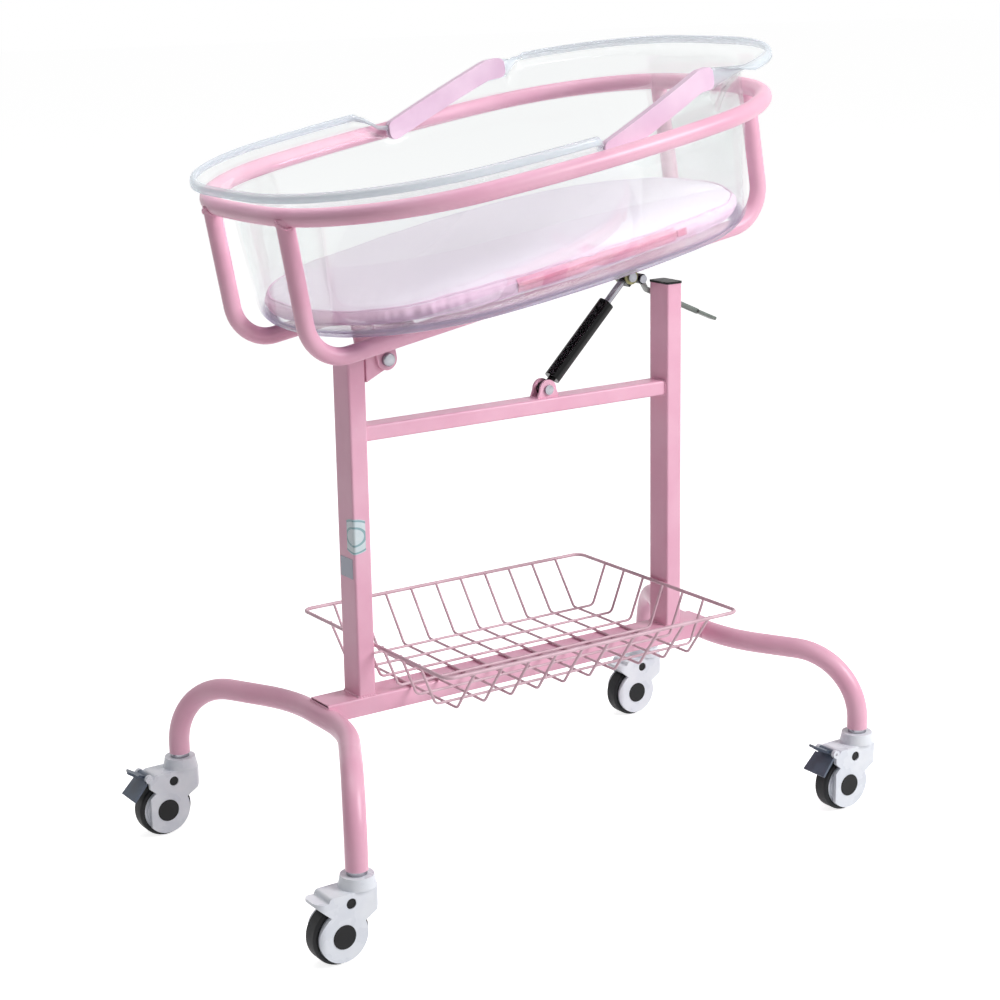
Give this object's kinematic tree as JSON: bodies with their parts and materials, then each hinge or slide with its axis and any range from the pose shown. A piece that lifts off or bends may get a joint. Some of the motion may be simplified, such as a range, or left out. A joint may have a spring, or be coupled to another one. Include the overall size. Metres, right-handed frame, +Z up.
{
  "type": "hospital bassinet",
  "caption": "Tilting clear bassinet tub in an oval tube cradle on a wheeled stand with a gas spring, mattress and wire basket",
  "frame": {"origin": "on the floor under the middle of the whole bassinet's outline", "axes": "+X to the raised head end, +Y to the far side, +Z up"},
  "size_m": [0.9004, 0.568, 1.0421],
  "materials": {
    "pink_paint": "satin powder coat",
    "black_plastic": "moulded, matt",
    "label_film": "smooth film",
    "olive_steel": "plated, satin",
    "bright_steel": "turned",
    "black_paint": "gloss black",
    "dark_paint": "satin dark grey",
    "clear_plastic": "clear, polished",
    "pink_trim": "soft satin",
    "cover_fabric": "woven",
    "zip_plastic": "moulded",
    "wire_coat": "satin coat",
    "white_plastic": "moulded, smooth",
    "tread_rubber": "matt",
    "pedal_plastic": "moulded, matt"
  },
  "bodies": {
    "stand": {"left_leg_arch": "pink_paint", "right_leg_arch": "pink_paint", "base_beam": "pink_paint", "left_column": "pink_paint", "right_column": "pink_paint", "cross_rail": "pink_paint", "column_caps": "black_plastic", "blank_labels": "label_film", "hinge_bracket": "olive_steel", "hinge_spacer": "bright_steel", "hinge_bolt": "bright_steel", "spring_clevis": "black_paint", "spring_foot_pin": "bright_steel", "caster_stems": "bright_steel"},
    "basket": {"basket_rim": "wire_coat", "basket_wires_across": "wire_coat", "basket_wires_along": "wire_coat"},
    "basin": {"hoop": "pink_paint", "near_hanger": "pink_paint", "far_hanger": "pink_paint", "foot_cross_tube": "pink_paint", "head_cross_tube": "pink_paint", "hinge_ears": "pink_paint", "spring_bracket": "olive_steel", "spring_head_pin": "bright_steel"},
    "spring_barrel": {"gas_cylinder": "black_paint"},
    "spring_rod": {"gas_rod": "bright_steel", "release_head": "black_paint", "lever_pin": "bright_steel"},
    "lever": {"release_lever": "dark_paint"},
    "tub_body": {"tub": "clear_plastic", "near_grip_strip": "pink_trim", "far_grip_strip": "pink_trim"},
    "mattress_body": {"mattress": "cover_fabric"},
    "zip_slider": {"zip_pull": "zip_plastic"},
    "near_left_swivel": {"near_left_caster_housing": "white_plastic", "near_left_axle": "bright_steel", "near_left_caps": "black_plastic"},
    "near_left_wheel_body": {"near_left_wheel": "white_plastic", "near_left_tyre": "tread_rubber"},
    "far_left_swivel": {"far_left_caster_housing": "white_plastic", "far_left_axle": "bright_steel", "far_left_caps": "black_plastic", "far_left_pedal_pin": "bright_steel"},
    "far_left_wheel_body": {"far_left_wheel": "white_plastic", "far_left_tyre": "tread_rubber"},
    "far_left_pedal": {"far_left_brake_pedal": "pedal_plastic"},
    "near_right_swivel": {"near_right_caster_housing": "white_plastic", "near_right_axle": "bright_steel", "near_right_caps": "black_plastic", "near_right_pedal_pin": "bright_steel"},
    "near_right_wheel_body": {"near_right_wheel": "white_plastic", "near_right_tyre": "tread_rubber"},
    "near_right_pedal": {"near_right_brake_pedal": "pedal_plastic"},
    "far_right_swivel": {"far_right_caster_housing": "white_plastic", "far_right_axle": "bright_steel", "far_right_caps": "black_plastic"},
    "far_right_wheel_body": {"far_right_wheel": "white_plastic", "far_right_tyre": "tread_rubber"}
  },
  "joints": [
    {"name": "basin_tilt", "type": "hinge", "parent": "stand", "child": "basin", "pos_m": [-0.1818, 0, 0.6648], "axis": [0, -1, 0], "range_deg": [-9.85, 2.15]},
    {"name": "gas_spring_swing", "type": "hinge", "parent": "stand", "child": "spring_barrel", "pos_m": [0.07369, 0, 0.592], "axis": [0, -1, 0], "range_deg": [-19, 4.5]},
    {"name": "gas_spring_stroke", "type": "slide", "parent": "spring_barrel", "child": "spring_rod", "axis": [0.7053, 0, 0.7089], "range_m": [-0.0366, 0.0085]},
    {"name": "release_lever_turn", "type": "hinge", "parent": "spring_rod", "child": "lever", "pos_m": [0.23073, 0, 0.72392], "axis": [0, -1, 0], "range_deg": [0, 12], "stiffness_Nm_per_rad": 0.6, "springref_deg": -17.19},
    {"name": "tub_lift", "type": "slide", "parent": "basin", "child": "tub_body", "axis": [-0.1711, 0, 0.9853], "range_m": [0, 0.25]},
    {"name": "mattress_lift", "type": "slide", "parent": "tub_body", "child": "mattress_body", "axis": [-0.1711, 0, 0.9853], "range_m": [0, 0.25]},
    {"name": "zip_travel", "type": "hinge", "parent": "mattress_body", "child": "zip_slider", "pos_m": [-0.0083, 1.105, 0.91822], "axis": [-0.1711, 0, 0.9853], "range_deg": [-11.12, 0]},
    {"name": "basket_lift", "type": "slide", "parent": "stand", "child": "basket", "axis": [0, 0, 1], "range_m": [0, 0.15]},
    {"name": "near_left_swivel_turn", "type": "hinge", "parent": "stand", "child": "near_left_swivel", "pos_m": [-0.3708, -0.238, 0.09], "axis": [0, 0, 1], "continuous": true},
    {"name": "near_left_wheel_spin", "type": "hinge", "parent": "near_left_swivel", "child": "near_left_wheel_body", "pos_m": [-0.40031, -0.238, 0.0375], "axis": [0, 1, 0], "continuous": true},
    {"name": "far_left_swivel_turn", "type": "hinge", "parent": "stand", "child": "far_left_swivel", "pos_m": [-0.3708, 0.238, 0.09], "axis": [0, 0, 1], "continuous": true},
    {"name": "far_left_wheel_spin", "type": "hinge", "parent": "far_left_swivel", "child": "far_left_wheel_body", "pos_m": [-0.40031, 0.238, 0.0375], "axis": [0, 1, 0], "continuous": true},
    {"name": "far_left_pedal_press", "type": "hinge", "parent": "far_left_swivel", "child": "far_left_pedal", "pos_m": [-0.4248, 0.238, 0.087], "axis": [0, -1, 0], "range_deg": [0, 12]},
    {"name": "near_right_swivel_turn", "type": "hinge", "parent": "stand", "child": "near_right_swivel", "pos_m": [0.42619, -0.238, 0.09], "axis": [0, 0, 1], "continuous": true},
    {"name": "near_right_wheel_spin", "type": "hinge", "parent": "near_right_swivel", "child": "near_right_wheel_body", "pos_m": [0.3967, -0.238, 0.0375], "axis": [0, 1, 0], "continuous": true},
    {"name": "near_right_pedal_press", "type": "hinge", "parent": "near_right_swivel", "child": "near_right_pedal", "pos_m": [0.37219, -0.238, 0.087], "axis": [0, -1, 0], "range_deg": [0, 12]},
    {"name": "far_right_swivel_turn", "type": "hinge", "parent": "stand", "child": "far_right_swivel", "pos_m": [0.42619, 0.238, 0.09], "axis": [0, 0, 1], "continuous": true},
    {"name": "far_right_wheel_spin", "type": "hinge", "parent": "far_right_swivel", "child": "far_right_wheel_body", "pos_m": [0.3967, 0.238, 0.0375], "axis": [0, 1, 0], "continuous": true}
  ],
  "couplings": [
    {"joint": "gas_spring_swing", "follows": "basin_tilt", "ratio": 1.87},
    {"joint": "gas_spring_stroke", "follows": "basin_tilt", "m_per_rad": 0.2115}
  ]
}
